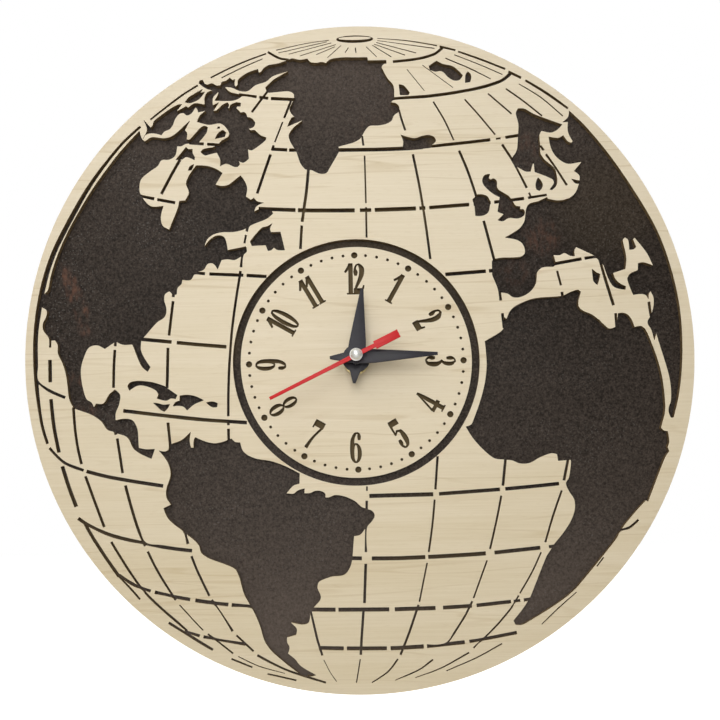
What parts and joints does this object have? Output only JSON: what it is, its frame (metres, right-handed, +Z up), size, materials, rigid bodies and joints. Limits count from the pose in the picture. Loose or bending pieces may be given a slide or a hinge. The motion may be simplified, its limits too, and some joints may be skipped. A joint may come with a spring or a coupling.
{
  "type": "wall clock",
  "caption": "Round wooden wall clock: pale fretwork globe map with a numbered dial glued on a dark board, three hands and a battery movement behind.",
  "frame": {"origin": "on the axis of the hands, in the plane of the wall that the back of the movement rests on", "axes": "+X to the viewer's right, +Y into the wall, +Z up; the dial faces -Y"},
  "size_m": [0.3, 0.0414, 0.3],
  "materials": {
    "maple": "clear matt lacquer on pale sliced maple",
    "wenge": "dark brown stained fibreboard, matt",
    "hand_black": "satin blue-black paint",
    "hand_red": "satin red paint",
    "chrome": "polished plating",
    "brass": "bright turned brass",
    "steel": "plated spring steel",
    "black_plastic": "fine moulded texture",
    "white_plastic": "smooth moulded",
    "rubber": "matt",
    "battery_case": null
  },
  "bodies": {
    "clock": {"front_panel": "maple", "pole_island": "maple", "dial_disc": "maple", "numeral_eye_4": "maple", "numeral_eye_6": "maple", "numeral_eye_8": "maple", "numeral_eye_8_b": "maple", "numeral_eye_9": "maple", "numeral_eye_10": "maple", "back_board": "wenge", "movement_case": "black_plastic", "movement_cover": "black_plastic", "threaded_bushing": "brass", "rubber_gasket": "rubber", "washer": "brass", "hex_nut": "brass", "battery": "battery_case", "positive_contact": "steel", "negative_contact": "steel"},
    "hour": {"hour_tube": "white_plastic", "hour_hand": "hand_black"},
    "minute": {"minute_tube": "brass", "minute_hand": "hand_black"},
    "second": {"second_arbor": "steel", "second_hand": "hand_red", "second_cap": "chrome"},
    "knob": {"setting_knob": "white_plastic"}
  },
  "joints": [
    {"name": "minute_turn", "type": "hinge", "parent": "clock", "child": "minute", "pos_m": [0, 0, 0], "axis": [0, 1, 0], "continuous": true},
    {"name": "hour_turn", "type": "hinge", "parent": "clock", "child": "hour", "pos_m": [0, 0, 0], "axis": [0, 1, 0], "continuous": true},
    {"name": "second_turn", "type": "hinge", "parent": "clock", "child": "second", "pos_m": [0, 0, 0], "axis": [0, 1, 0], "continuous": true},
    {"name": "knob_turn", "type": "hinge", "parent": "clock", "child": "knob", "pos_m": [0.015, 0, 0.009], "axis": [0, 1, 0], "continuous": true}
  ],
  "couplings": [
    {"joint": "second_turn", "follows": "minute_turn", "ratio": 60},
    {"joint": "hour_turn", "follows": "minute_turn", "ratio": 0.083333},
    {"joint": "knob_turn", "follows": "minute_turn", "ratio": 1}
  ]
}
